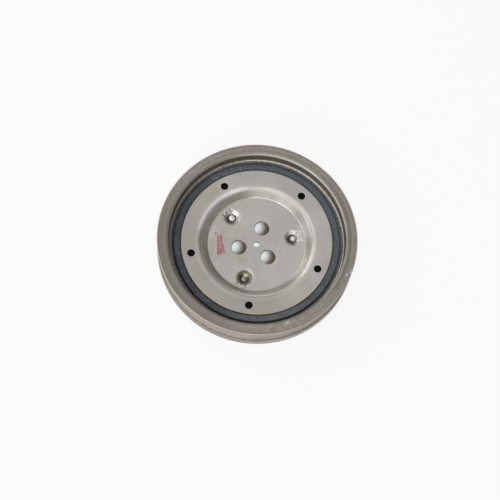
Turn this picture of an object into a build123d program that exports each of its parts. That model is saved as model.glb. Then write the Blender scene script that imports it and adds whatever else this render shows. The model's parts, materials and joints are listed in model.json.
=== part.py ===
from build123d import *
import os
from math import atan, cos, degrees, radians, tan

# Harmonic balancer for a crankshaft nose. A pressed steel hub plate carries a cast iron
# inertia ring on moulded rubber, and the ring is turned outside as a ribbed belt pulley.
# +Z runs along the crankshaft axis, away from the engine. The origin is on that axis, in
# the plane of the ring's rear face, on which the balancer lies when it is off the engine.

os.makedirs("parts", exist_ok=True)

# ---- Driving dimensions, millimetres and degrees ----

# Inertia ring, outside
ring_diameter = 192.0          # over the two belt flanges
ring_width = 34.5              # rear face to front face
edge_break = 0.8               # chamfer on the outer edges of both faces
front_flange = 5.2             # thickness of the flange in front of the belt track
flange_height = 2.0            # how far the flanges stand out past the ribs
groove_count = 5
groove_pitch = 3.56            # standard ribbed automotive belt
groove_angle = 40.0            # between the two sides of one groove
groove_depth = 3.4             # to the sharp bottom of a groove
track_margin = 2.5             # flange to the middle of the nearest groove

# Inertia ring, front recess
rim_wall = 5.6                 # from the bottom of the grooves to the recess
mouth_chamfer = 1.6
ledge_depth = 12.0             # front face down to the ledge
wall_draft = 0.7               # how far the recess wall leans in, on the radius
ledge_width = 2.7
ledge_chamfer = 1.2            # in the corner between the recess wall and the ledge

# Inertia ring, web and rear recess
web_clearance = 2.0            # from the back of the dish side to the bore of the web
rear_recess_depth = 5.5
rear_rim_width = 16.0          # rear face, from the outside in to the recess
rear_recess_chamfer = 2.5      # in the corner between the recess wall and the web

# Inertia ring, balance drillings in the middle of the rear face
balance_hole_diameter = 8.0
balance_hole_depth = 6.0       # to the shoulder of the drill point
balance_point_angle = 118.0
balance_hole_count = 2
balance_spacing = 13.0
balance_middle = 180.0         # angle of the middle of the row of drillings

# Hub plate
sheet = 4.5
plate_depth = 11.5             # ring's front face down to the flat of the plate
flat_width = 18.5              # plate's edge in to where the dish side meets the flat
dish_depth = 8.2               # flat of the plate down to the dish floor
dish_angle = 49.5              # slope of the dish side
shoulder_radius = 7.5          # outside bend at the top of the dish

# Hub plate, holes
centre_hole_diameter = 5.7
bolt_hole_diameter = 14.5
bolt_circle = 34.3
bolt_count = 3
bolt_start = 60.0              # angle of the first bolt hole
mould_hole_diameter = 7.2
mould_inset = 8.7              # plate's edge in to the middle of a hole
mould_count = 5
mould_start = 36.0

# Hub plate, pressed lugs: dents in the dish floor that stand out behind as bosses
lug_inset = 11.5               # foot of the dish side in to the middle of a lug
lug_count = 3
lug_mouth_diameter = 15.2
lug_floor_diameter = 10.0
lug_depth = 2.8
nub_diameter = 6.4
nub_top_diameter = 3.8
nub_height = 2.2
boss_diameter = 12.0
boss_height = 2.2
boss_draft = 0.8               # how far the boss narrows, on the radius
flute_count = 3
flute_spacing = 3.6
flute_diameter = 1.8           # each flute is a round-bottomed groove
flute_depth = 1.1
flute_reach = 2.6              # past the mouth of the dent, towards the dish side

# Rubber
rubber_layer = 5.0             # between the hub plate and the ring's web
rubber_inset = 1.0             # bore of the web out to the rubber
rubber_face_width = 5.5
rubber_face_drop = 0.5         # rubber face below the flat of the plate
edge_groove_width = 1.5        # groove moulded round the plate's edge
edge_groove_depth = 1.8
outer_groove_width = 1.6       # groove between the rubber face and the ring
outer_groove_floor = 3.0       # rubber left above the web under that groove

# ---- Sizes that follow ----

ring_radius = ring_diameter / 2
belt_radius = ring_radius - flange_height
root_radius = belt_radius - groove_depth
track_width = (groove_count - 1) * groove_pitch + 2 * track_margin
track_top = ring_width - front_flange
track_bottom = track_top - track_width
groove_mouth = 2 * groove_depth * tan(radians(groove_angle / 2))

mouth_radius = root_radius - rim_wall
ledge_z = ring_width - ledge_depth
ledge_outer_radius = mouth_radius - wall_draft
bore_radius = ledge_outer_radius - ledge_width
rear_recess_radius = ring_radius - rear_rim_width

plate_radius = bore_radius - outer_groove_width - rubber_face_width - edge_groove_width
plate_z = ring_width - plate_depth
plate_rear_z = plate_z - sheet
floor_z = plate_z - dish_depth
floor_rear_z = floor_z - sheet
dish_shoulder = plate_radius - flat_width
dish_foot = dish_shoulder - dish_depth / tan(radians(dish_angle))
bend_shift = sheet * tan(radians(dish_angle / 2))   # front bend line to rear bend line

lug_circle_radius = dish_foot - lug_inset
lug_mouth_radius = lug_mouth_diameter / 2
flute_slope = atan(flute_depth / flute_reach)

web_top = plate_rear_z - rubber_layer
web_bore_radius = dish_shoulder + bend_shift + web_clearance
rubber_face_z = plate_z - rubber_face_drop
rubber_face_radius = bore_radius - outer_groove_width
rubber_bore_radius = web_bore_radius + rubber_inset
edge_groove_z = rubber_face_z - edge_groove_depth
outer_groove_z = web_top + outer_groove_floor

balance_radius = ring_radius - rear_rim_width / 2
balance_hole_radius = balance_hole_diameter / 2
balance_point_height = balance_hole_radius / tan(radians(balance_point_angle / 2))
balance_sweep = balance_hole_count * balance_spacing
balance_start = balance_middle - (balance_hole_count - 1) * balance_spacing / 2


def corners_at(section, *places):
    """The corners of a section at the given (radius, height) places."""
    return [
        corner
        for corner in section.vertices()
        for radius, height in places
        if abs(corner.X - radius) < 0.001 and abs(corner.Y - height) < 0.001
    ]


# ---- Inertia ring ----

# The belt track in section, from its rear end to its front end, one groove after another.
track_points = [(belt_radius, track_bottom)]
for groove in range(groove_count):
    groove_z = track_bottom + track_margin + groove * groove_pitch
    track_points += [
        (belt_radius, groove_z - groove_mouth / 2),
        (root_radius, groove_z),
        (belt_radius, groove_z + groove_mouth / 2),
    ]
track_points.append((belt_radius, track_top))

# The ring's corners that are chamfered.
outer_corners = [(ring_radius, 0), (ring_radius, ring_width)]
mouth_corner = (mouth_radius, ring_width)
ledge_corner = (ledge_outer_radius, ledge_z)
rear_inner_corner = (rear_recess_radius, rear_recess_depth)

with BuildPart() as inertia_ring:
    with BuildSketch(Plane.XZ) as ring_section:
        with BuildLine():
            Polyline(
                (rear_recess_radius, 0),
                (ring_radius, 0),
                (ring_radius, track_bottom),
                *track_points,
                (ring_radius, track_top),
                (ring_radius, ring_width),
                mouth_corner,
                ledge_corner,
                (bore_radius, ledge_z),
                (bore_radius, web_top),
                (web_bore_radius, web_top),
                (web_bore_radius, rear_recess_depth),
                rear_inner_corner,
                close=True,
            )
        make_face()
        chamfer(corners_at(ring_section, *outer_corners), length=edge_break)
        chamfer(corners_at(ring_section, mouth_corner), length=mouth_chamfer)
        chamfer(corners_at(ring_section, ledge_corner), length=ledge_chamfer)
        chamfer(corners_at(ring_section, rear_inner_corner), length=rear_recess_chamfer)
    revolve(axis=Axis.Z)

    with PolarLocations(balance_radius, balance_hole_count, balance_start, balance_sweep):
        Cylinder(
            balance_hole_radius,
            balance_hole_depth,
            align=(Align.CENTER, Align.CENTER, Align.MIN),
            mode=Mode.SUBTRACT,
        )
    with Locations(Plane.XY.offset(balance_hole_depth)):
        with PolarLocations(balance_radius, balance_hole_count, balance_start, balance_sweep):
            Cone(
                balance_hole_radius,
                0,
                balance_point_height,
                align=(Align.CENTER, Align.CENTER, Align.MIN),
                mode=Mode.SUBTRACT,
            )
inertia_ring.part.label = "inertia_ring"
export_step(inertia_ring.part, "parts/inertia_ring.step")


# ---- Hub plate ----

# What the press pushes out of the front of one lug, with the lug's middle at the origin
# and the dish floor at height 0. A tapered nub stays in the middle of the dent, and the
# flutes run out of the dent along +X.
with BuildPart() as lug_dent:
    with BuildSketch(Plane.XZ):
        with BuildLine():
            Polyline(
                (0, nub_height - lug_depth),
                (nub_top_diameter / 2, nub_height - lug_depth),
                (nub_diameter / 2, -lug_depth),
                (lug_floor_diameter / 2, -lug_depth),
                (lug_mouth_radius, 0),
                (lug_mouth_radius, lug_depth),
                (0, lug_depth),
                close=True,
            )
        make_face()
    revolve(axis=Axis.Z)
    with Locations((lug_mouth_radius, 0, flute_diameter / 2 - flute_depth)):
        with GridLocations(flute_spacing, flute_spacing, 1, flute_count):
            Cylinder(
                flute_diameter / 2,
                2 * flute_reach / cos(flute_slope),
                rotation=(0, 90 - degrees(flute_slope), 0),
            )

with BuildPart() as hub_plate:
    with BuildSketch(Plane.XZ):
        with BuildLine():
            front = FilletPolyline(
                (0, floor_z),
                (dish_foot, floor_z),
                (dish_shoulder, plate_z),
                (plate_radius, plate_z),
                radius=[0, shoulder_radius],
            )
            rear = FilletPolyline(
                (0, floor_rear_z),
                (dish_foot + bend_shift, floor_rear_z),
                (dish_shoulder + bend_shift, plate_rear_z),
                (plate_radius, plate_rear_z),
                radius=[sheet, 0],
            )
            Line(front @ 0, rear @ 0)
            Line(front @ 1, rear @ 1)
        make_face()
    revolve(axis=Axis.Z)

    with Locations(Plane.XY.offset(floor_rear_z)):
        with PolarLocations(lug_circle_radius, lug_count):
            Cone(
                boss_diameter / 2 - boss_draft,
                boss_diameter / 2,
                boss_height,
                align=(Align.CENTER, Align.CENTER, Align.MAX),
            )
    with Locations(Plane.XY.offset(floor_z)):
        with PolarLocations(lug_circle_radius, lug_count):
            add(lug_dent.part, mode=Mode.SUBTRACT)

    Hole(centre_hole_diameter / 2)
    with PolarLocations(bolt_circle / 2, bolt_count, bolt_start):
        Hole(bolt_hole_diameter / 2)
    with PolarLocations(plate_radius - mould_inset, mould_count, mould_start):
        Hole(mould_hole_diameter / 2)
hub_plate.part.label = "hub_plate"
export_step(hub_plate.part, "parts/hub_plate.step")


# ---- Rubber ----

with BuildPart() as rubber_ring:
    with BuildSketch(Plane.XZ):
        with BuildLine():
            Polyline(
                (rubber_bore_radius, web_top),
                (bore_radius, web_top),
                (bore_radius, outer_groove_z),
                (rubber_face_radius, outer_groove_z),
                (rubber_face_radius, rubber_face_z),
                (plate_radius + edge_groove_width, rubber_face_z),
                (plate_radius + edge_groove_width, edge_groove_z),
                (plate_radius, edge_groove_z),
                (plate_radius, plate_rear_z),
                (rubber_bore_radius, plate_rear_z),
                close=True,
            )
        make_face()
    revolve(axis=Axis.Z)
rubber_ring.part.label = "rubber_ring"
export_step(rubber_ring.part, "parts/rubber_ring.step")
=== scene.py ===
import json
from math import atan2, cos, pi, radians, sin, tan
import bpy
import numpy as np
from mathutils import Matrix, Vector


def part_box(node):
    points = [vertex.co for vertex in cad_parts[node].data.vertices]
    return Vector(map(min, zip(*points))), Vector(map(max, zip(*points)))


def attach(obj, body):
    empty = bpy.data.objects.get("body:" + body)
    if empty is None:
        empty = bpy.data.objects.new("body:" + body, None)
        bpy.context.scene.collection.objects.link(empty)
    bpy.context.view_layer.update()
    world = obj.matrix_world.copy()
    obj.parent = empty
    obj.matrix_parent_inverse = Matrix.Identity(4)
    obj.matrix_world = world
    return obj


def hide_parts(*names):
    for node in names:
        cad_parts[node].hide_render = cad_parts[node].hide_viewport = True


# A crankshaft harmonic balancer lying on a pale floor, front face up. Sizes are in
# millimetres and degrees in the part's own frame, and MM brings them to Blender's metres.

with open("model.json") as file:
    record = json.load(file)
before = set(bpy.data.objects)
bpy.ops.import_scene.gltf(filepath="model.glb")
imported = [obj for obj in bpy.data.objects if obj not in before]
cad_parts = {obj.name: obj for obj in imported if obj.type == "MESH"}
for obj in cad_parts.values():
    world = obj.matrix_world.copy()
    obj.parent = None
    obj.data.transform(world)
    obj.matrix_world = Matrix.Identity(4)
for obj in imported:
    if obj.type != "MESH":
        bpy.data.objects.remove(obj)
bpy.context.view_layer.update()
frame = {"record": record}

MM = 0.001

# ---- Sizes read from the frame ----


def node_box(node):
    """The lowest and highest corner of a solid, in millimetres."""
    low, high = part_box(node)
    return np.array(low) / MM, np.array(high) / MM


def mount_sizes(name):
    """The stated sizes of one mount of the part."""
    return next(m["dims"] for m in frame["record"]["mounts"] if m["name"] == name)


ring_high = node_box("inertia_ring")[1]
plate_high = node_box("hub_plate")[1]
rubber_low, rubber_high = node_box("rubber_ring")

ring_radius = ring_high[0]
ring_width = ring_high[2]
plate_radius = plate_high[0]
plate_z = plate_high[2]
bore_radius = rubber_high[0]
web_top = rubber_low[2]
rubber_face_z = rubber_high[2]

centre_hole_radius = mount_sizes("centre_hole")["r_mm"]
sheet = mount_sizes("centre_hole")["length_mm"]
bolt_hole_radius = mount_sizes("crank_bolts")["hole_r_mm"]
bolt_circle_radius = mount_sizes("crank_bolts")["pcd_mm"] / 2
bolt_count = mount_sizes("crank_bolts")["count"]

# ---- Sizes of the finer forms ----

# Inertia ring
edge_break = 0.8
rear_break_round = 0.15
front_break_round = 0.2
front_flange = 5.2
flange_height = 2.0            # how far the flanges stand out past the ribs
flange_round = 0.5
flange_foot_round = 0.4
groove_count = 5
groove_pitch = 3.56
groove_angle = 40.0            # between the two sides of one groove
groove_depth = 3.4
groove_margin = 2.5            # flange to the middle of the nearest groove
crest_round = 0.25
root_round = 0.3
rim_wall = 5.6                 # bottom of the grooves to the recess
mouth_chamfer = 1.6
wall_draft = 0.7               # how far the recess wall leans in
ledge_z = rubber_face_z
ledge_round = 1.3
rear_rim_width = 16.0
rear_recess_depth = 5.5
rear_recess_round = 2.5
web_clearance = 2.0            # back of the dish side to the bore of the web
web_round = 0.8
ring_columns = 420

# Balance drillings
drill_radius = 4.0
drill_depth = 6.0
drill_point_angle = 118.0
drill_count = 2
drill_spacing = 13.0
drill_middle = 180.0
drill_patch_across = 6.2       # half the patch of rear face round a drilling, across the rim
drill_patch_along = 5.6        # half of it along the rim

# Hub plate
flat_width = 18.5              # edge of the plate to where the dish side meets the flat
dish_depth = 8.2
dish_angle = 49.5              # slope of the dish side
foot_round = 0.9
shoulder_round = 7.5
plate_edge_round = 0.35
hole_edge_round = 0.35
mould_hole_radius = 3.6
mould_inset = 8.7              # edge of the plate to the middle of a hole
mould_count = 5
mould_start = 36.0             # angle of the first mould hole
bolt_start = 60.0              # angle of the first bolt hole
plate_columns = 360

# Pressed lugs
lug_inset = 11.5               # foot of the dish side to the middle of a lug
lug_count = 3
lug_mouth_radius = 7.6
lug_patch_radius = 8.6         # of the round patch of points that a lug is pressed into
lug_slope = 38.0               # of the wide conical dent
lug_rim_ease = 0.15            # square of the length over which the cone bends into the floor
pit_radius = 3.5
pit_wall = 0.9                 # width of the pit's steep wall, seen from above
pit_depth = 4.0
pit_dome = 2.4                 # how far the bottom of the pit swells up
pit_tail = 7.0                 # from the middle of the lug out to the tip of the pit's tail
pit_tail_depth = 1.2
pit_tail_ease = 1.2
pit_tail_taper = 0.8           # share of the pit's width that the tail loses
boss_radius = 6.0
boss_height = 2.2
boss_draft = 0.8               # how far the boss narrows, on the radius
boss_ease = 0.2
flute_offset = 4.3             # to either side of the lug's middle line
flute_half_width = 1.3
flute_depth = 0.9
flute_start = 3.5              # from the middle of the lug towards the dish side
flute_end = 9.5
flute_start_ease = 1.5
flute_end_ease = 2.8

# Rubber
rubber_inset = 1.0             # bore of the web to the bore of the rubber
edge_groove_width = 1.5
edge_groove_depth = 0.9
outer_groove_width = 1.6
outer_groove_depth = 1.5
rubber_round = 0.7
rubber_sag = 0.15              # how far the uneven face lies below its nominal height
skin_thickness = 0.5           # rubber left on the ring's bore
skin_lap = 0.35                # how far it laps over the ledge
rubber_columns = 360

# ---- Sizes that follow ----

belt_radius = ring_radius - flange_height
root_radius = belt_radius - groove_depth
track_top = ring_width - front_flange
track_bottom = track_top - (groove_count - 1) * groove_pitch - 2 * groove_margin
groove_half_mouth = groove_depth * tan(radians(groove_angle / 2))
mouth_radius = root_radius - rim_wall
ledge_outer_radius = mouth_radius - wall_draft
rear_recess_radius = ring_radius - rear_rim_width
drill_circle_radius = (rear_recess_radius + ring_radius) / 2

plate_rear_z = plate_z - sheet
floor_z = plate_z - dish_depth
floor_rear_z = floor_z - sheet
dish_shoulder = plate_radius - flat_width
dish_foot = dish_shoulder - dish_depth / tan(radians(dish_angle))
bend_shift = sheet * tan(radians(dish_angle / 2))
web_bore_radius = dish_shoulder + bend_shift + web_clearance
rubber_bore_radius = web_bore_radius + rubber_inset
rubber_face_radius = bore_radius - outer_groove_width
lug_circle_radius = dish_foot - lug_inset
mould_circle_radius = plate_radius - mould_inset


def turns(count, start=0.0):
    """The angles of equal holes or lugs round the axis, in degrees."""
    return start + np.arange(count) * 360 / count


def beside(place, distance, bearing):
    """The (x, y) place at a distance from another one, at a bearing in degrees."""
    x, y = place
    return x + distance * cos(radians(bearing)), y + distance * sin(radians(bearing))


bolts = [beside((0, 0), bolt_circle_radius, turn) for turn in turns(bolt_count, bolt_start)]
mould_holes = [beside((0, 0), mould_circle_radius, turn) for turn in turns(mould_count, mould_start)]
lugs = [beside((0, 0), lug_circle_radius, turn) for turn in turns(lug_count)]

# The windows that holes and lugs take up in the plate: inner radius, outer radius and half
# the angle between their sides.
bolt_window = (8.2, 26.2, 31.0)
lug_window = (26.8, 45.0, 14.5)
mould_window = (mould_circle_radius - 5.2, mould_circle_radius + 5.2, 5.0)


# ---- Surfaces ----


def outline(corners, closed=True, steps=4, guard=0.25):
    """A section from (radius, height, rounding) corners. A corner with a rounding becomes an
    arc of that radius, tangent to both its sides, in `steps` parts. A guard point goes in
    each straight side just beside an arc, which keeps the shading of flat sides flat."""
    count = len(corners)
    points = []
    for i, (r, z, rounding) in enumerate(corners):
        here = np.array((r, z), float)
        inner = closed or 0 < i < count - 1
        if not inner or rounding <= 0:
            points.append(here)
            continue
        before = np.array(corners[i - 1][:2], float) - here
        after = np.array(corners[(i + 1) % count][:2], float) - here
        room_before, room_after = np.linalg.norm(before), np.linalg.norm(after)
        before, after = before / room_before, after / room_after
        half = np.arccos(np.clip(before @ after, -1, 1)) / 2
        reach = rounding / np.tan(half)
        middle = here + (before + after) / np.linalg.norm(before + after) * rounding / np.sin(half)
        if room_before > 2.5 * reach + guard:
            points.append(here + before * (reach + guard))
        start, end = here + before * reach - middle, here + after * reach - middle
        turn = atan2(start[0] * end[1] - start[1] * end[0], start @ end)
        angles = np.linspace(0, turn, steps + 1)
        points.extend(
            middle + np.stack([
                start[0] * np.cos(angles) - start[1] * np.sin(angles),
                start[0] * np.sin(angles) + start[1] * np.cos(angles),
            ], axis=1)
        )
        if room_after > 2.5 * reach + guard:
            points.append(here + after * (reach + guard))
    return np.array(points)


def turned(section, columns):
    """Every point of a section carried round the axis: (radius cos t, radius sin t, height)."""
    turn = np.linspace(0, 2 * pi, columns, endpoint=False)
    r, z = section[:, :1], section[:, 1:]
    return np.stack([r * np.cos(turn), r * np.sin(turn), z + 0 * turn], axis=-1)


class Skin:
    """One mesh gathered from numpy grids of points that share their edges."""

    def __init__(self):
        self.points, self.faces, self.count = [], [], 0

    def place(self, grid):
        """Adds a (rows, columns, 3) grid of points and gives the grid of their numbers."""
        grid = np.asarray(grid, float)
        numbers = np.arange(grid[..., 0].size).reshape(grid.shape[:-1]) + self.count
        self.points.append(grid.reshape(-1, 3))
        self.count += numbers.size
        return numbers

    def weave(self, numbers, close_rows=False, keep=None):
        """Quads between neighbouring rows and columns. Columns always close on themselves,
        and `keep` says which quads stay."""
        rows = np.vstack([numbers, numbers[:1]]) if close_rows else numbers
        near, far = rows[:-1], rows[1:]
        quads = np.stack([near, np.roll(near, -1, 1), np.roll(far, -1, 1), far], axis=-1)
        self.faces.append(quads[keep] if keep is not None else quads.reshape(-1, 4))

    def fan(self, ring, tip):
        """Triangles from a closed row of points to one tip."""
        number = self.place(np.reshape(tip, (1, 3)))[0]
        self.faces.append(np.stack([ring, np.roll(ring, -1), np.full(ring.shape, number)], axis=-1))

    def all_points(self):
        return np.concatenate(self.points)

    def mesh(self, name):
        """The finished object, in metres, with its faces turned outwards: all are turned over
        where the volume that they enclose comes out below 0."""
        points = self.all_points()
        volume = 0.0
        for faces in self.faces:
            for a, b in ((1, 2),) if faces.shape[1] == 3 else ((1, 2), (2, 3)):
                corner = points[faces[:, 0]], points[faces[:, a]], points[faces[:, b]]
                volume += np.einsum("ij,ij->i", corner[0], np.cross(corner[1], corner[2])).sum()
        faces = [f[:, ::-1] if volume < 0 else f for f in self.faces]
        sizes = np.concatenate([np.full(len(f), f.shape[1]) for f in faces])
        corners = np.concatenate([f.ravel() for f in faces])
        mesh = bpy.data.meshes.new(name)
        mesh.vertices.add(len(points))
        mesh.vertices.foreach_set("co", (points * MM).ravel())
        mesh.loops.add(len(corners))
        mesh.loops.foreach_set("vertex_index", corners)
        mesh.polygons.add(len(sizes))
        mesh.polygons.foreach_set("loop_start", np.concatenate([[0], np.cumsum(sizes)[:-1]]))
        mesh.polygons.foreach_set("loop_total", sizes)
        mesh.polygons.foreach_set("use_smooth", np.ones(len(sizes), bool))
        mesh.update(calc_edges=True)
        mesh.validate()
        piece = bpy.data.objects.new(name, mesh)
        bpy.context.collection.objects.link(piece)
        return piece


def window_rim(numbers, rows, columns):
    """The closed row of point numbers round a window of a turned grid."""
    top, bottom = rows
    left, right = columns
    across = np.arange(left, right) % numbers.shape[1]
    back = np.arange(right, left, -1) % numbers.shape[1]
    down, up = np.arange(top, bottom), np.arange(bottom, top, -1)
    first, last = left % numbers.shape[1], right % numbers.shape[1]
    return np.concatenate([
        numbers[top, across], numbers[down, last], numbers[bottom, back], numbers[up, first],
    ])


def blank_window(keep, rows, columns):
    """Marks the quads of one window as left out."""
    top, bottom = rows
    keep[top:bottom, np.arange(*columns) % keep.shape[1]] = False


def rings_round(rim_points, centre, radii, heights):
    """Rows of points on circles about `centre`, each point in the direction of its rim point."""
    away = rim_points[:, :2] - centre
    away = away / np.linalg.norm(away, axis=1, keepdims=True)
    flat = centre + away * np.reshape(radii, (-1, 1, 1))
    height = np.broadcast_to(np.reshape(heights, (-1, 1, 1)), (*flat.shape[:2], 1))
    return np.concatenate([flat, height], axis=-1)


def between(rim_points, ring_points, shares):
    """Rows of points part of the way from a rim to a ring."""
    shares = np.reshape(shares, (-1, 1, 1))
    return rim_points * (1 - shares) + ring_points * shares


def nearest_row(section, first, last, radius):
    """The row of a section, from `first` to `last`, whose radius is nearest to the one given."""
    return first + int(np.argmin(np.abs(section[first:last, 0] - radius)))


def smooth(share):
    """0 below 0, 1 above 1 and an even S-curve between them."""
    share = np.clip(share, 0, 1)
    return share * share * (3 - 2 * share)


def wander(angle, seed, waves, size):
    """A smooth uneven line round the axis: a sum of sine waves with random shares and starts."""
    random = np.random.default_rng(seed)
    total = np.zeros_like(angle)
    for wave in waves:
        total = total + random.uniform(0.4, 1) * np.sin(wave * angle + random.uniform(0, 2 * pi))
    return size * total / len(waves) ** 0.5


# ---- Inertia ring ----


def belt_track():
    """The ribbed belt track in section, from its rear end to its front end."""
    corners = [(belt_radius, track_bottom, flange_foot_round)]
    for groove in range(groove_count):
        z = track_bottom + groove_margin + groove * groove_pitch
        corners += [
            (belt_radius, z - groove_half_mouth, crest_round),
            (root_radius, z, root_round),
            (belt_radius, z + groove_half_mouth, crest_round),
        ]
    return corners + [(belt_radius, track_top, flange_foot_round)]


def ring_piece():
    """The ring's section, with its edges rounded, turned round the axis. The ledge carries a
    low crust of rust, whose height is a sum of sine waves round the axis, some of them shifted
    by the height of the place."""
    section = outline([
        (web_bore_radius, web_top, web_round),
        (web_bore_radius, rear_recess_depth, web_round),
        (rear_recess_radius, rear_recess_depth, rear_recess_round),
        (rear_recess_radius, 0, 0.5),
        (drill_circle_radius - drill_patch_across, 0, 0),
        (drill_circle_radius, 0, 0),
        (drill_circle_radius + drill_patch_across, 0, 0),
        (ring_radius - edge_break, 0, rear_break_round),
        (ring_radius, edge_break, rear_break_round),
        (ring_radius, track_bottom, flange_round),
        *belt_track(),
        (ring_radius, track_top, flange_round),
        (ring_radius, ring_width - edge_break, front_break_round),
        (ring_radius - edge_break, ring_width, front_break_round),
        ((ring_radius + mouth_radius) / 2, ring_width, 0),
        (mouth_radius + mouth_chamfer, ring_width, 0.25),
        (mouth_radius - wall_draft * 0.1, ring_width - mouth_chamfer, 0.3),
        (ledge_outer_radius, ledge_z, ledge_round),
        (bore_radius, ledge_z, 0.25),
        (bore_radius, web_top, 0.4),
    ])
    grid = turned(section, ring_columns)
    x, y, z = np.moveaxis(grid, -1, 0)
    angle = np.arctan2(y, x)
    crust = wander(angle, seed=5, waves=range(60, 200, 7), size=0.07)
    crust += wander(angle + z, seed=6, waves=range(11, 90, 5), size=0.05)
    on_ledge = smooth(z - ledge_z + 1) * smooth((ledge_z + 1.6 - z) / 1.2)
    on_ledge *= smooth((ledge_outer_radius - ledge_round - np.hypot(x, y)) / 0.4)
    z += crust * on_ledge
    skin = Skin()
    numbers = skin.place(grid)
    keep = np.ones(numbers.shape, bool)

    # The two balance drillings: a window in the rear face, a wall and a cone to the tip.
    rear = np.flatnonzero(np.abs(section[:, 1]) < 1e-6)
    limits = drill_circle_radius - drill_patch_across, drill_circle_radius + drill_patch_across
    patch_rows = [nearest_row(section, rear[0], rear[-1] + 1, limit) for limit in limits]
    half = round(drill_patch_along / drill_circle_radius / (2 * pi) * ring_columns)
    tip = drill_depth + drill_radius / tan(radians(drill_point_angle / 2))
    radii = [drill_radius + 0.5, drill_radius + 0.25, drill_radius, drill_radius, drill_radius, 0.4]
    heights = [0, 0, 0.25, 0.5, drill_depth, tip - 0.3]
    for drill in range(drill_count):
        turn = radians(drill_middle + (drill - (drill_count - 1) / 2) * drill_spacing)
        column = round(turn / (2 * pi) * ring_columns)
        columns = (column - half, column + half)
        blank_window(keep, patch_rows, columns)
        rim = window_rim(numbers, patch_rows, columns)
        rim_points = skin.all_points()[rim]
        centre = drill_circle_radius * np.array((cos(turn), sin(turn)))
        ring = rings_round(rim_points, centre, radii, heights)
        rows = np.concatenate([between(rim_points, ring[0], (0.5,)), ring])
        placed = np.vstack([rim, skin.place(rows)])
        skin.weave(placed)
        skin.fan(placed[-1], (*centre, tip))
    skin.weave(numbers, close_rows=True, keep=keep)
    return skin.mesh("ring_casting")


# ---- Hub plate ----


def lug_front(along, across):
    """Height of the dish floor round one lug: a wide cone with an eased rim, and a steep-sided
    pit in it. The pit is a circle with a tail that narrows and rises towards the dish side, as a
    keyhole does, and its bottom swells up to a round button: dome (1 - (away / radius)^2) above
    the depth of the pit. A shallow round flute runs out of the cone on either side."""
    away = np.hypot(along, across)
    cone = -tan(radians(lug_slope)) * (lug_mouth_radius - away)
    cone = -0.5 * (np.sqrt(cone * cone + lug_rim_ease) - cone)
    out = np.clip(along / pit_tail, 0, 1)
    from_pit = np.hypot(np.minimum(along, 0), across / (1 - pit_tail_taper * out))
    pit = smooth((pit_radius + pit_wall - from_pit) / pit_wall)
    pit = pit * smooth((pit_tail + pit_tail_ease / 2 - along) / pit_tail_ease)
    bottom = -pit_depth + (pit_depth - pit_tail_depth) * out
    bottom = bottom + pit_dome * np.clip(1 - (away / pit_radius) ** 2, 0, 1)
    flute = smooth(1 - np.abs(np.abs(across) - flute_offset) / flute_half_width)
    flute = flute * smooth((along - flute_start) / flute_start_ease)
    flute = flute * smooth((flute_end - along) / flute_end_ease)
    return cone * (1 - pit) + bottom * pit - flute_depth * flute * (1 - pit)


def boss_rear(along, across):
    """The round boss that a lug raises on the back of the floor: its height times an even
    S-curve that falls from 1 to 0 across its sloping side."""
    away = np.hypot(along, across)
    return -boss_height * smooth((boss_radius + boss_ease - away) / (boss_draft + 2 * boss_ease))


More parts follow.
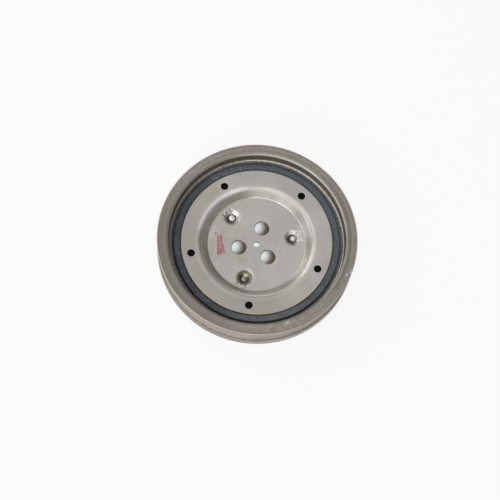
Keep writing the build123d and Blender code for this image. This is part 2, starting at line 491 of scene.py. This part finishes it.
def plate_piece():
    """The plate's section turned round the axis: the front from the centre hole out to the
    edge, and the back in again. Each hole is a window in the front and one in the back, joined
    by rows of points that run through the sheet, and each lug closes its window at its middle."""
    # Rows of points across the floor and the flat, for the windows to begin and end at.
    floor_radii = np.linspace(3.6, 45.0, 54)
    flat_radii = np.linspace(59.0, 71.9, 16)
    front = outline([
        (centre_hole_radius, floor_z - sheet / 2, 0),
        (centre_hole_radius, floor_z, hole_edge_round),
        *[(r, floor_z, 0) for r in floor_radii],
        (dish_foot, floor_z, foot_round),
        (dish_shoulder, plate_z, shoulder_round),
        *[(r, plate_z, 0) for r in flat_radii],
        (plate_radius, plate_z, plate_edge_round),
        (plate_radius, plate_z - sheet / 2, 0),
    ], closed=False, steps=8, guard=0.15)
    rear = outline([
        (plate_radius, plate_z - sheet / 2, 0),
        (plate_radius, plate_rear_z, plate_edge_round),
        *[(r, plate_rear_z, 0) for r in flat_radii[::-1]],
        (dish_shoulder + bend_shift, plate_rear_z, 0.8),
        (dish_foot + bend_shift, floor_rear_z, sheet),
        *[(r, floor_rear_z, 0) for r in floor_radii[::-1]],
        (centre_hole_radius, floor_rear_z, hole_edge_round),
        (centre_hole_radius, floor_z - sheet / 2, 0),
    ], closed=False, steps=6, guard=0.15)[1:-1]
    section = np.vstack([front, rear])
    skin = Skin()
    numbers = skin.place(turned(section, plate_columns))
    keep = np.ones(numbers.shape, bool)
    per_degree = plate_columns / 360
    rim_shares = np.array((0.35, 0.7))      # of the rows between a rim and what it surrounds

    def open_window(limits, turn, back):
        """Opens a window on the front or the back and gives its rim, which begins at the same
        corner and runs the same way on both."""
        radius_in, radius_out, half = limits
        first, last = (len(front), len(section)) if back else (0, len(front))
        rows = sorted(nearest_row(section, first, last, r) for r in (radius_in, radius_out))
        columns = round((turn - half) * per_degree), round((turn + half) * per_degree)
        blank_window(keep, rows, columns)
        rim = window_rim(numbers, rows, columns)
        return np.roll(rim[::-1], 1 - (rows[1] - rows[0])) if back else rim

    def through_hole(centre, turn, radius, limits, heights):
        """A hole through the sheet, with its edges rolled over."""
        top, bottom = heights
        front_rim, back_rim = (open_window(limits, turn, back) for back in (False, True))
        points = skin.all_points()
        roll = hole_edge_round
        radii = radius + np.array((2, 1, 0.3, 0, 0, 0)) * roll
        drops = np.array((0, 0, 0.3 * roll, roll, 2 * roll, sheet / 2))
        upper = rings_round(points[front_rim], centre, radii, top - drops)
        lower = rings_round(points[back_rim], centre, radii, bottom + drops)[::-1]
        rows = [
            between(points[front_rim], upper[0], rim_shares), upper, lower[1:],
            between(points[back_rim], lower[-1], rim_shares[::-1]),
        ]
        placed = skin.place(np.concatenate(rows))
        skin.weave(np.vstack([front_rim, placed, back_rim]))

    def lug(centre, turn):
        """A lug's dent on the front and its boss on the back, each on rings round its middle."""
        out = np.array((cos(radians(turn)), sin(radians(turn))))
        sideways = np.array((-out[1], out[0]))
        dent, boss = (False, floor_z, lug_front, 44), (True, floor_rear_z, boss_rear, 24)
        for back, base, height, steps in (dent, boss):
            rim = open_window(lug_window, turn, back)
            # Turned back again, so that the faces of the boss point outwards.
            rim = rim[::-1] if back else rim
            points = skin.all_points()[rim]
            radii = np.linspace(lug_patch_radius, 0.2, steps)
            rows = rings_round(points, centre, radii, np.full(steps, base))
            rows = np.concatenate([between(points, rows[0], rim_shares), rows])
            offset = rows[..., :2] - centre
            rows[..., 2] += height(offset @ out, offset @ sideways)
            placed = np.vstack([rim, skin.place(rows)])
            skin.weave(placed)
            skin.fan(placed[-1], (*centre, base + height(0.0, 0.0)))

    for centre, turn in zip(bolts, turns(bolt_count, bolt_start)):
        through_hole(centre, turn, bolt_hole_radius, bolt_window, (floor_z, floor_rear_z))
    for centre, turn in zip(mould_holes, turns(mould_count, mould_start)):
        through_hole(centre, turn, mould_hole_radius, mould_window, (plate_z, plate_rear_z))
    for centre, turn in zip(lugs, turns(lug_count)):
        lug(centre, turn)
    skin.weave(numbers, close_rows=True, keep=keep)
    return skin.mesh("pressed_plate")


# ---- Rubber ----


def rubber_piece():
    """The rubber's section turned round the axis. A thin skin of rubber runs up the ring's bore
    and laps over the ledge, with an uneven edge. The face rises and falls a little, as a
    moulding does. Both are sums of sine waves round the axis."""
    edge_groove_z = rubber_face_z - edge_groove_depth
    outer_groove_z = rubber_face_z - outer_groove_depth
    section = outline([
        (rubber_bore_radius, web_top, 0.3),
        (bore_radius, web_top, 0.3),
        (bore_radius, ledge_z - 0.3, 0),
        (bore_radius + skin_lap, ledge_z - 0.3, 0),
        (bore_radius + skin_lap, ledge_z + 0.12, 0.1),
        (bore_radius - skin_thickness, ledge_z + 0.2, 0.4),
        (bore_radius - skin_thickness, outer_groove_z, 0.4),
        (rubber_face_radius, outer_groove_z, 0.4),
        (rubber_face_radius, rubber_face_z, rubber_round),
        ((rubber_face_radius + plate_radius + edge_groove_width) / 2, rubber_face_z, 0),
        (plate_radius + edge_groove_width, rubber_face_z, 0.4),
        (plate_radius + edge_groove_width, edge_groove_z, 0.4),
        (plate_radius, edge_groove_z, 0),
        (plate_radius, plate_rear_z, 0),
        (rubber_bore_radius, plate_rear_z, 0.3),
    ], guard=0.5)
    grid = turned(section, rubber_columns)
    x, y, z = np.moveaxis(grid, -1, 0)
    angle = np.arctan2(y, x)
    radius = np.hypot(x, y)
    on_face = smooth((z - rubber_face_z + 1) / 0.8) * smooth((rubber_face_radius + 0.1 - radius) / 0.1)
    z += on_face * (wander(angle, seed=21, waves=(3, 5, 8, 13, 21), size=0.06) - rubber_sag)
    z += on_face * wander(angle + radius, seed=22, waves=range(40, 120, 9), size=0.03)
    at_lap = smooth((radius - bore_radius - 0.02) / 0.1) * smooth((z - ledge_z + 1) / 0.5)
    ragged = wander(angle, seed=23, waves=(17, 31, 47, 63, 85, 110, 130, 150), size=0.35)
    grid[..., :2] *= (1 + at_lap * ragged / radius)[..., None]
    skin = Skin()
    skin.weave(skin.place(grid), close_rows=True)
    return skin.mesh("rubber_moulding")


# ---- Shader maths ----


class Value:
    """A socket of a shader. Sums written with it add Math nodes."""

    def __init__(self, shader, socket):
        self.shader, self.socket = shader, socket

    def maths(self, operation, *others):
        """A Math node that takes this value first."""
        return self.shader.node(
            "ShaderNodeMath", {"operation": operation}, dict(enumerate((self, *others)))
        )

    def maths_after(self, operation, first):
        """A Math node that takes this value second."""
        return self.shader.node("ShaderNodeMath", {"operation": operation}, {0: first, 1: self})

    def __add__(self, other):
        return self.maths("ADD", other)

    def __sub__(self, other):
        return self.maths("SUBTRACT", other)

    def __rsub__(self, other):
        return self.maths_after("SUBTRACT", other)

    def __mul__(self, other):
        return self.maths("MULTIPLY", other)

    def __truediv__(self, other):
        return self.maths("DIVIDE", other)

    def __rtruediv__(self, other):
        return self.maths_after("DIVIDE", other)

    def __pow__(self, other):
        return self.maths("POWER", other)

    def __rpow__(self, other):
        return self.maths_after("POWER", other)

    def __neg__(self):
        return self.maths("MULTIPLY", -1)

    __radd__, __rmul__ = __add__, __mul__

    def sine(self):
        return self.maths("SINE")

    def absolute(self):
        return self.maths("ABSOLUTE")

    def least(self, *others):
        """The least of this value and some others."""
        least = self
        for other in others:
            least = least.maths("MINIMUM", other)
        return least

    def most(self, *others):
        """The greatest of this value and some others."""
        most = self
        for other in others:
            most = most.maths("MAXIMUM", other)
        return most

    def between(self, low, high, to_low=0.0, to_high=1.0):
        """This value brought from low..high to to_low..to_high along an S-curve, held at the ends."""
        return self.shader.node(
            "ShaderNodeMapRange",
            {"interpolation_type": "SMOOTHSTEP"},
            {"Value": self, "From Min": low, "From Max": high, "To Min": to_low, "To Max": to_high},
        )

    def near(self, middle, reach):
        """1 where this value is at `middle`, and 0 past `reach` from it."""
        return (self - middle).absolute().between(0, reach, 1, 0)


class Nodes:
    """The node tree of a material or of the world."""

    def __init__(self, owner):
        owner.use_nodes = True
        self.tree = owner.node_tree
        self.tree.nodes.clear()

    def node(self, kind, settings=None, values=None, output=0):
        """Adds a node: its settings first, then what goes into its sockets."""
        node = self.tree.nodes.new(kind)
        for setting, choice in (settings or {}).items():
            setattr(node, setting, choice)
        for key, value in (values or {}).items():
            socket = node.inputs[key]
            if isinstance(value, Value):
                self.tree.links.new(value.socket, socket)
            else:
                socket.default_value = value
        return node if output is None else Value(self, node.outputs[output])


class Shader(Nodes):
    """One material, with the place on the part to paint by: millimetres along each axis, the
    distance from the axis and the angle round it."""

    def __init__(self, name):
        self.material = bpy.data.materials.new(name)
        super().__init__(self.material)
        place = self.node("ShaderNodeSeparateXYZ", values={
            0: self.node("ShaderNodeTexCoord", output="Object"),
        }, output=None)
        self.x, self.y, self.z = (Value(self, place.outputs[i]) * (1 / MM) for i in range(3))
        self.radius = (self.x * self.x + self.y * self.y) ** 0.5
        self.angle = self.y.maths("ARCTAN2", self.x)

    def vector(self, x, y, z):
        return self.node("ShaderNodeCombineXYZ", values={0: x, 1: y, 2: z})

    def noise(self, scale, detail=3.0, roughness=0.55, vector=None, distortion=0.0):
        """Noise with `scale` patches to a millimetre."""
        given = self.vector(self.x, self.y, self.z) if vector is None else vector
        return self.node("ShaderNodeTexNoise", values={
            "Vector": given, "Scale": scale, "Detail": detail, "Roughness": roughness,
            "Distortion": distortion,
        })

    def turning(self, scale, seed=0.0):
        """Noise drawn out along circles round the axis: the marks of turning on a lathe."""
        along = self.angle.sine() * 0.35 + self.x * 0.004
        return self.noise(scale, 3, 0.6, self.vector(self.radius + seed, self.z * 1.3, along))

    def mix(self, share, first, second):
        """One colour blended into another."""
        return self.node(
            "ShaderNodeMix", {"data_type": "RGBA"}, {0: share, 6: first, 7: second}, output=2
        )

    def towards(self, bearing, x=0.0, y=0.0):
        """How far a place lies from (x, y) in the direction of a bearing in degrees."""
        east, north = cos(radians(bearing)), sin(radians(bearing))
        return self.x * east + self.y * north - (x * east + y * north)

    def spot(self, x, y, reach, stretch=1.0, bearing=0.0):
        """1 at (x, y), falling to 0 at `reach`, which is longer by `stretch` along a bearing."""
        along = self.towards(bearing, x, y) / stretch
        across = self.towards(bearing + 90, x, y)
        return (along * along + across * across).between(0, reach * reach, 1, 0)

    def nearest(self, places):
        """The distance to the nearest of several (x, y) places."""
        first, *others = [
            ((self.x - x) * (self.x - x) + (self.y - y) * (self.y - y)) ** 0.5 for x, y in places
        ]
        return first.least(*others)

    def bump(self, height, depth, normal=None):
        """A bump of `depth` millimetres."""
        values = {"Height": height, "Distance": depth * MM, "Strength": 1.0}
        if normal is not None:
            values["Normal"] = normal
        return self.node("ShaderNodeBump", values=values)

    def finish(self, **sockets):
        """The surface itself."""
        surface = self.node("ShaderNodeBsdfPrincipled", values=sockets)
        self.node("ShaderNodeOutputMaterial", values={"Surface": surface}, output=None)
        return self.material


def tint(red, green, blue):
    """A colour given in the 0 to 255 steps of a screen, as the linear colour a shader takes."""
    steps = np.array((red, green, blue)) / 255
    linear = np.where(steps <= 0.04045, steps / 12.92, ((steps + 0.055) / 1.055) ** 2.4)
    return (*linear.tolist(), 1.0)


# ---- Finishes ----


def oil_stains(s):
    """Pale brown clouds of oil at five places on the plate."""
    cloud = s.noise(0.11, 5, 0.65, distortion=0.6)
    cloudlet = s.noise(0.3, 4, 0.6, distortion=1.0)
    left = s.spot(-40, 14, 26, 1.4, 74.5) * cloud.between(0.42, 0.62)
    corner = s.spot(-36, 56, 17, 1.3, 40.1) * cloud.between(0.4, 0.6)
    top = s.spot(-16, 40, 12, 2.2, 20.1) * cloud.between(0.38, 0.55)
    middle = s.spot(-16, 4, 9, 3.2, 83.1) * cloud.between(0.38, 0.6)
    right = s.spot(37, -49, 12, 1.5, -51.6) * cloudlet.between(0.45, 0.6)
    return (left * 1.1).most(corner, top * 0.55, middle, right)


def lug_light_and_shade(s):
    """Where the lugs' dents are, and the painted light and shade in them: shade on one side of
    each dent and all round the last one, a ring of shade round each button, and on the first two
    lugs a painted highlight on the far wall and the button, above a crease of painted shade."""
    lug_shade_bearing = 214
    from_lug = s.nearest(lugs)
    in_lug = from_lug.between(lug_mouth_radius + 0.6, lug_mouth_radius - 0.6)
    in_lug = in_lug * s.z.between(floor_rear_z, floor_rear_z + 0.3)

    low_lugs = [beside(lug, 0.9, lug_shade_bearing) for lug in lugs]
    button_and_crease_shades = [s.nearest(low_lugs).between(5.2, 4.3) * from_lug.between(2.8, 3.5) * in_lug]
    lug_shades = []
    for (x, y), spread in zip(lugs, (0, 0, 12)):
        side = s.towards(lug_shade_bearing, x, y).between(0.5 - spread, 4.5 - spread)
        lug_shades.append(s.spot(x, y, 11).between(0, 0.3) * side)
    unshaded = from_lug.between(3.4, 2.7) * (1 - s.spot(*lugs[-1], 6) * 0.6)
    uneven = s.noise(0.5, 4).between(0.3, 0.55, 0.55, 1.0)
    lug_shade = lug_shades[0].most(*lug_shades[1:]) * in_lug * (1 - unshaded) * uneven

    highlights = []
    for lug, far_side, wall_highlight, button_highlight in ((lugs[0], 88, 0.7, 0.2), (lugs[1], 42, 1, 0.8)):
        wall = s.spot(*beside(lug, 5.8, far_side), 2.7, 1.7, far_side + 90)
        crease = s.spot(*beside(lug, 3.2, far_side), 0.8, 4.2, far_side + 90)
        button = s.spot(*lug, 3.6)
        highlights += [wall.between(0, 0.7) * wall_highlight, button.between(0, 0.3) * button_highlight]
        button_and_crease_shades.append(crease.between(0, 0.5) * in_lug)
    button_and_crease_shade = button_and_crease_shades[0].most(*button_and_crease_shades[1:])
    lug_highlight = highlights[0].most(*highlights[1:]) * in_lug * (1 - button_and_crease_shade)
    return in_lug, lug_highlight, lug_shade, button_and_crease_shade


def ink_smear(s):
    """Ink on the floor of the dish: a dot, and a streak broken into loops that widens at its
    lower end."""
    down = 18.0 - s.y
    across = (s.x + 33.4 + down * 0.1).absolute() / down.between(4, 20, 2.4, 3.7)
    loops = s.noise(0.9, 2, 0.6, distortion=1.4).between(0.42, 0.52) * 0.85
    loops = loops.most(across.near(0.85, 0.4) * s.noise(0.5, 2).between(0.36, 0.5))
    streak = across.between(1.15, 0.8) * down.between(1.4, 2.4) * down.between(23.0, 21.6)
    dot = s.spot(-36.6, 18.0, 1.3)
    return (streak * loops).most(dot) * s.z.between(floor_z - 0.3, floor_z - 0.1)


def plate_steel():
    """Pressed steel sheet: satin grey with faint drawing marks, oil stains, painted shade on one
    side, painted highlights on the shoulder and at the foot of the dish, painted light and shade
    in the lugs, and a smear of ink."""
    s = Shader("satin_pressed_steel")
    cloud = s.noise(0.035, 4)
    grain = s.noise(0.9, 5, 0.7)
    rings = s.turning(0.7, 3.0)
    ring_marks = rings.between(0.35, 0.7)
    base = s.mix(cloud.between(0.35, 0.65), tint(192, 189, 183), tint(203, 200, 194))
    base = s.mix(ring_marks * 0.35, base, tint(182, 180, 174))
    base = s.mix(grain.between(0.6, 0.75) * 0.35, base, tint(168, 166, 160))
    base = s.mix(oil_stains(s) * 0.4, base, tint(176, 161, 133))

    # Painted shade on one side of the flat, and a painted highlight along one stretch of the shoulder.
    painted_shade = s.towards(214).between(-5, 42) * s.radius.between(dish_shoulder, dish_shoulder + 8)
    base = s.mix(painted_shade * 0.85, base, s.mix(ring_marks, tint(177, 172, 164), tint(167, 162, 154)))
    shoulder_highlight = s.radius.near(dish_shoulder + 1.2, 3.6) * s.towards(124).between(42, 53)
    base = s.mix(shoulder_highlight * 0.9, base, tint(255, 253, 250))
    fleck = s.spot(-24.2, 61.5, 1.0, 1.8, 22.9)
    base = s.mix(fleck, base, tint(224, 208, 176))

    # Edges: painted shade at the foot of the dish on its low side, and a bright line of bare steel
    # along the foot, painted brighter on its top side as a highlight. A tan line on the near half
    # of the rim of the plate is worn steel with a painted highlight.
    foot_shade = s.radius.near(dish_foot, 2.0) * s.towards(238).between(15, 42)
    base = s.mix(foot_shade * 0.6, base, tint(166, 162, 155))
    highlight_side = (s.x * 0.25 + s.y).between(-5, 30)
    foot_line_and_highlight = s.radius.near(dish_foot + 0.35, 0.55) * (highlight_side * 0.9 + 0.1)
    base = s.mix(foot_line_and_highlight * 0.9, base, tint(240, 238, 233))
    rim = s.radius.between(plate_radius - 1.1, plate_radius - 0.4)
    rim = rim * s.z.between(plate_z - 1.2, plate_z - 0.3)
    rim_wear_and_highlight = s.noise(0.06, 3).between(0.35, 0.55) * (-s.y).between(-25, 15)
    base = s.mix(rim * rim_wear_and_highlight * 0.8, base, tint(214, 186, 138))

    # The lugs' painted light and shade, a painted golden glint in the last one and a painted
    # highlight on the edge outside it.
    in_lug, lug_highlight, lug_shade, button_and_crease_shade = lug_light_and_shade(s)
    base = s.mix(in_lug * 0.7, base, tint(204, 203, 199))
    base = s.mix(lug_highlight, base, tint(253, 253, 252))
    base = s.mix(lug_shade * 0.85, base, tint(92, 82, 56))
    base = s.mix(button_and_crease_shade * 0.85, base, tint(54, 47, 32))
    last_x, last_y = lugs[-1]
    glint = s.spot(last_x + 1.9, last_y + 2.8, 2.0, 1.7, -17.2) * in_lug
    base = s.mix(glint * 0.95, base, tint(250, 238, 204))
    lug_rim_highlight = s.spot(last_x + 7.0, last_y + 5.2, 2.6, 2.4, 124)
    base = s.mix(lug_rim_highlight * 0.6, base, tint(228, 226, 218))

    # Black rubber flash on the walls of the mould holes, and the ink.
    flash = s.nearest(mould_holes).between(mould_hole_radius + 0.3, mould_hole_radius + 0.1)
    flash = flash * s.z.between(plate_z - 0.1, plate_z - 0.4)
    base = s.mix(flash, base, tint(18, 18, 19))
    ink = ink_smear(s)
    base = s.mix(ink * 0.9, base, tint(172, 34, 92))

    all_lug_shade = lug_shade.most(button_and_crease_shade)
    rough = s.noise(0.25, 4).between(0.3, 0.7, 0.30, 0.42) * (1 - in_lug * 0.25) - foot_line_and_highlight * 0.12
    rough = rough + ink * 0.2 + all_lug_shade * 0.25 + flash * 0.5
    metal = 0.92 - ink * 0.8 - (in_lug * 0.3).most(all_lug_shade * 0.6, lug_highlight * 0.7)
    normal = s.bump((grain * 0.5 + rings * 0.5) * (1 - in_lug), 0.012, s.bump(cloud, 0.25))
    return s.finish(**{
        "Base Color": base, "Metallic": metal * (1 - flash), "Roughness": rough, "Normal": normal,
    })


def ledge_rust(s):
    """Thin rust on the ledge of the front recess and down the bore, thicker on one side, and
    the noise that breaks it up."""
    on_ledge = s.radius.between(ledge_outer_radius - 0.9, ledge_outer_radius - 1.3)
    noise = s.noise(0.5, 5, 0.7)
    side = (s.x * 0.8 + s.y).between(-40, 20)
    rust = on_ledge * s.z.between(web_top, web_top + 2) * (side * 0.7 + 0.3)
    return rust * noise.between(0.38, 0.6), noise


def ring_iron():
    """Turned cast iron: brown-grey, with circular tool marks, pores, painted highlights on the edges,
    painted shade on one side and thin rust on the ledge and behind."""
    s = Shader("turned_cast_iron")
    marks = s.turning(1.6)
    tool_marks = marks.between(0.35, 0.65)
    broad = s.turning(0.28, 7.0)
    cloud = s.noise(0.03, 4)
    pores = s.noise(0.42, 3, 0.7)
    base = s.mix(tool_marks, tint(143, 137, 129), tint(172, 166, 158))
    base = s.mix(broad.between(0.45, 0.7) * 0.5, base, tint(136, 129, 121))
    base = s.mix(cloud.between(0.5, 0.7) * 0.4, base, tint(158, 147, 133))
    base = s.mix(pores.between(0.52, 0.64) * 0.3, base, tint(112, 105, 98))
    base = s.mix(pores.between(0.48, 0.36) * 0.3, base, tint(186, 181, 173))
    front = s.z.between(ring_width - 0.5, ring_width - 0.1)
    patch = s.spot(8, -91, 22, 1.6, 5.7).most(s.spot(-60, -66, 12, 2.0, -45.8)) * front
    base = s.mix(patch * s.noise(0.14, 4).between(0.45, 0.6) * 0.4, base, tint(140, 122, 102))

    # The front: painted shade on one side and inside the other, and painted highlights on the edges.
    chamfer = s.radius.near(mouth_radius + mouth_chamfer / 2, 1.1)
    chamfer = chamfer * s.z.between(ring_width - 2.2, ring_width - 1.6)
    painted_shade = s.towards(190).between(30, 85) * (1 - chamfer * 0.6) * 0.85
    inner = s.radius.between(ring_radius - 2, ring_radius - 8)
    painted_shade = painted_shade.most(s.towards(-11).between(60, 82) * inner * 0.7)
    base = s.mix(painted_shade, base, s.mix(tool_marks, tint(117, 112, 107), tint(147, 141, 134)))
    outer_edge = s.radius.between(ring_radius - 1.0, ring_radius - 0.5)
    outer_edge = outer_edge * s.z.near(ring_width - 0.4, 0.9)
    edge_highlights = (chamfer * s.towards(64).between(-60, 70)).most(outer_edge)
    base = s.mix(edge_highlights * 0.7, base, tint(198, 190, 178))

    # The recess: painted shade on the walls, rust, and a bright line of smooth steel where the wall
    # meets the ledge, painted brighter as a highlight.
    wall = s.radius.between(mouth_radius + 0.6, mouth_radius) * s.z.between(web_top, web_top + 2)
    wall_shade = wall * s.towards(190).most(s.towards(-62)).between(20, 75)
    base = s.mix(wall_shade * 0.6, base, tint(92, 86, 80))
    rust, rust_noise = ledge_rust(s)
    grit = s.noise(0.9, 3, 0.6).between(0.42, 0.6)
    base = s.mix(rust * 0.9, base, s.mix(grit, tint(88, 69, 55), tint(160, 142, 124)))
    ledge_line_highlight = s.radius.near(ledge_outer_radius - 0.2, 0.7) * s.z.near(ledge_z + 0.5, 0.9)
    base = s.mix(ledge_line_highlight * 0.85, base, tint(238, 228, 212))

    # Outside: the belt track painted paler against the shade under the flange, a painted highlight
    # on the edge of the rear flange, and a little rust.
    track_painted_light = s.radius.between(ring_radius - 0.5, ring_radius - 1.0)
    track_painted_light = track_painted_light * s.radius.between(root_radius - 1, root_radius)
    track_painted_light = track_painted_light * s.z.between(track_top + 0.1, track_top - 0.1)
    track_painted_light = track_painted_light * s.z.between(track_bottom - 0.1, track_bottom + 0.1)
    base = s.mix(track_painted_light * 0.7, base, tint(191, 182, 171))
    flange_edge_highlight = s.radius.between(ring_radius - 2.2, ring_radius - 1.8)
    flange_edge_highlight = flange_edge_highlight * s.z.near(track_bottom, 0.9)
    base = s.mix(flange_edge_highlight * 0.4, base, tint(186, 178, 168))
    outer_rust = s.radius.between(root_radius - 0.5, root_radius)
    outer_rust = outer_rust * s.z.between(track_top, track_bottom)
    outer_rust = outer_rust * s.noise(0.09, 4).between(0.5, 0.62)
    base = s.mix(outer_rust * 0.35, base, tint(148, 126, 104))

    # Rust on the rear, and dings in the front.
    rear = s.z.between(web_top + 0.5, web_top - 1.5)
    rear = rear * s.radius.between(ring_radius - 3, ring_radius - 6)
    base = s.mix(rear * s.noise(0.12, 5).between(0.42, 0.62) * 0.4, base, tint(122, 100, 82))
    dings = s.spot(80.7, -49.8, 1.6, 2.2, 57.3).most(
        s.spot(76.3, -52.0, 1.3, 1.8, 34.4), s.spot(10.7, -87.7, 2.2, 1.5, 22.9) * 0.7,
    )
    dings = dings * front * s.noise(1.2, 3).between(0.4, 0.55)
    base = s.mix(dings, base, tint(226, 224, 220))

    rough = marks.between(0.3, 0.7, 0.34, 0.46) + rust * 0.3 + rear * 0.15 - ledge_line_highlight * 0.15
    metal = 0.85 - rust * 0.7 - rear * 0.4 - track_painted_light * 0.5
    crust = s.bump(rust_noise * rust, 0.35)
    normal = s.bump(marks * 0.7 + s.noise(1.4, 4) * 0.3, 0.02, crust)
    return s.finish(**{
        "Base Color": base, "Metallic": metal, "Roughness": rough, "Normal": normal,
    })


def black_rubber():
    """Moulded rubber, blue-black and lighter towards one side, with a coarse grain, paler
    smudges of dust, and painted shade in the grooves, along the plate's edge and under the plate."""
    s = Shader("dusty_moulded_rubber")
    cloud = s.noise(0.05, 4)
    grain = s.noise(1.3, 4, 0.7)
    flow = s.noise(0.5, 4, 0.65, s.vector(s.radius * 2.2, s.angle * 18, s.z))
    specks = s.noise(0.45, 3, 0.7)
    lighter_side = (s.x + s.y * 0.35).between(-65, 25)
    base = s.mix(cloud.between(0.35, 0.7), tint(54, 59, 64), tint(70, 77, 83))
    # Lighter towards +X.
    base = s.mix(lighter_side * 0.6, base, tint(92, 100, 107))
    base = s.mix(flow.between(0.5, 0.75) * 0.45, base, tint(100, 108, 116))
    base = s.mix(specks.between(0.52, 0.64) * 0.5, base, tint(108, 117, 126))
    base = s.mix(specks.between(0.48, 0.36) * 0.5, base, tint(50, 54, 58))

    # Smudges of dust on two opposite sides.
    top_dust = s.spot(-12, 76, 24, 1.2, 5.7) * s.noise(0.22, 4).between(0.45, 0.65)
    base = s.mix(top_dust * 0.55, base, tint(124, 134, 146))
    near_dust = s.towards(266).between(60, 78) * s.noise(0.2, 3).between(0.3, 0.6, 0.5, 1.0)
    base = s.mix(near_dust * 0.7, base, tint(112, 114, 115))

    # Painted shade: near black in the outer groove on the low side, a dark line along the
    # plate's edge on the other side, and near black under the plate.
    groove_shade_side = (-s.y - s.x * 0.5).between(-10, 60)
    groove = s.radius.between(rubber_face_radius - 0.9, rubber_face_radius + 0.2)
    base = s.mix(groove * groove_shade_side * 0.9, base, tint(16, 16, 17))
    edge_shade = s.radius.near(plate_radius + 0.5, 0.7) * (s.y + s.x * 0.3).between(-20, 30)
    base = s.mix(edge_shade * 0.8, base, tint(30, 31, 32))
    under_plate_shade = s.radius.between(plate_radius - 0.5, plate_radius - 1.5)
    base = s.mix(under_plate_shade, base, tint(14, 14, 15))

    rough = grain.between(0.3, 0.7, 0.5, 0.68) + under_plate_shade * 0.4
    normal = s.bump(flow * 0.5 + grain * 0.5, 0.06)
    return s.finish(**{"Base Color": base, "Roughness": rough, "Normal": normal})


# ---- Pieces ----

ring = ring_piece()
ring.data.materials.append(ring_iron())
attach(ring, "root")
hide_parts("inertia_ring")

plate = plate_piece()
plate.data.materials.append(plate_steel())
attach(plate, "root")
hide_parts("hub_plate")

rubber = rubber_piece()
rubber.data.materials.append(black_rubber())
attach(rubber, "root")
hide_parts("rubber_ring")

# ---- Floor, light and camera ----


def floor_finish():
    """Pale matt floor, nearly white to the eye and in reflections. It keeps the part's shadow.
    Under the hub its matt colour is painted brown as shade, and it is white only in painted
    spots of light beside the holes."""
    s = Shader("pale_floor")
    open_floor = s.radius.between(dish_foot, web_bore_radius)
    # Painted spots of light, a little to one side of the holes, where aslant light would fall.
    bolt_spots = [(x - 4.7, y + 7.4) for x, y in bolts]
    centre_spot = (0.6, 4.4)
    painted_light_spots = s.nearest(bolt_spots).between(bolt_hole_radius + 4.5, bolt_hole_radius - 4.5) * 0.86
    painted_light_spots = painted_light_spots.most(s.nearest([centre_spot]).between(5.0, 3.0))
    ray = s.node("ShaderNodeLightPath", output=None)
    kinds = ("Is Camera Ray", "Is Glossy Ray", "Is Transmission Ray")
    seen, *others = [Value(s, ray.outputs[kind]) for kind in kinds]
    seen = seen.most(*others)
    # Under the hub the matt colour is a painted brown shade.
    matt = s.node("ShaderNodeBsdfDiffuse", values={
        "Color": s.mix(open_floor, tint(160, 146, 128), tint(238, 238, 238)),
    })
    white = s.node("ShaderNodeEmission", values={
        "Color": s.mix(open_floor, tint(246, 250, 255), (1, 1, 1, 1)), "Strength": 1.0,
    })
    share = seen * open_floor.most(painted_light_spots) * 0.88
    both = s.node("ShaderNodeMixShader", values={0: share, 1: matt, 2: white})
    s.node("ShaderNodeOutputMaterial", values={"Surface": both}, output=None)
    return s.material


# A wide round floor whose rim turns up into a low far wall: a section turned round the axis.
far_room = [(1, 0), (10, 0), (1000, 0), (27000, 0), (29000, 700), (30000, 2500), (30200, 4500)]
room = Skin()
rounds = room.place(turned(np.array(far_room, float), 96))
room.weave(rounds)
room.fan(rounds[0], (0, 0, 0))
floor = room.mesh("floor")
floor.data.materials.append(floor_finish())


lamp_distance = 1.8            # metres


def soft_lamp(name, bearing, height, size, level):
    """A square soft lamp, `size` metres wide, turned towards the part. It hangs at a bearing
    from +X and a height above the floor, both in degrees. Its face has the given level, where
    1 is as bright as white paper."""
    lamp = bpy.data.lights.new(name, "AREA")
    lamp.shape = "SQUARE"
    lamp.size = size
    lamp.energy = level * pi * size ** 2
    holder = bpy.data.objects.new(name, lamp)
    bpy.context.collection.objects.link(holder)
    x, y = beside((0, 0), lamp_distance * cos(radians(height)), bearing)
    holder.location = x, y, lamp_distance * sin(radians(height))
    holder.rotation_euler = (-holder.location).to_track_quat("-Z", "Y").to_euler()


soft_lamp("overhead", 71, 74, size=1.5, level=0.45)
soft_lamp("main_window", 205, 60, size=1.8, level=0.95)
soft_lamp("front_box", -84, 55, size=1.3, level=0.65)
soft_lamp("high_left", 124, 45, size=0.9, level=1.1)
soft_lamp("low_left", 124, 18, size=0.9, level=1.8)
soft_lamp("low_far_left", 169, 18, size=0.9, level=1.4)
soft_lamp("low_near_left", 213, 13, size=1.1, level=1.5)
soft_lamp("low_front", 254, 18, size=1.1, level=0.9)
soft_lamp("low_back", 79, 18, size=0.9, level=0.95)

world = bpy.data.worlds.new("studio")
bpy.context.scene.world = world
air = Nodes(world)
sky = air.node("ShaderNodeBackground", values={"Color": (1, 1, 1, 1), "Strength": 0.26})
air.node("ShaderNodeOutputWorld", values={"Surface": sky}, output=None)

# The camera looks down on the front from one side, rolled a little about its line of sight.
camera_place = Vector((-141.46, -397.16, 1262.97)) * MM
camera_aim = Vector((-9.502, -11.061, ring_width)) * MM
camera_roll = radians(8.05)
camera_data = bpy.data.cameras.new("camera")
camera_data.lens = 97.99
camera_data.sensor_width = 36.0
camera = bpy.data.objects.new("camera", camera_data)
bpy.context.collection.objects.link(camera)
camera_turn = (camera_aim - camera_place).to_track_quat("-Z", "Y").to_matrix().to_4x4()
camera_turn = camera_turn @ Matrix.Rotation(camera_roll, 4, "Z")
camera.matrix_world = Matrix.Translation(camera_place) @ camera_turn
bpy.context.scene.camera = camera
bpy.context.scene.view_settings.view_transform = "Standard"
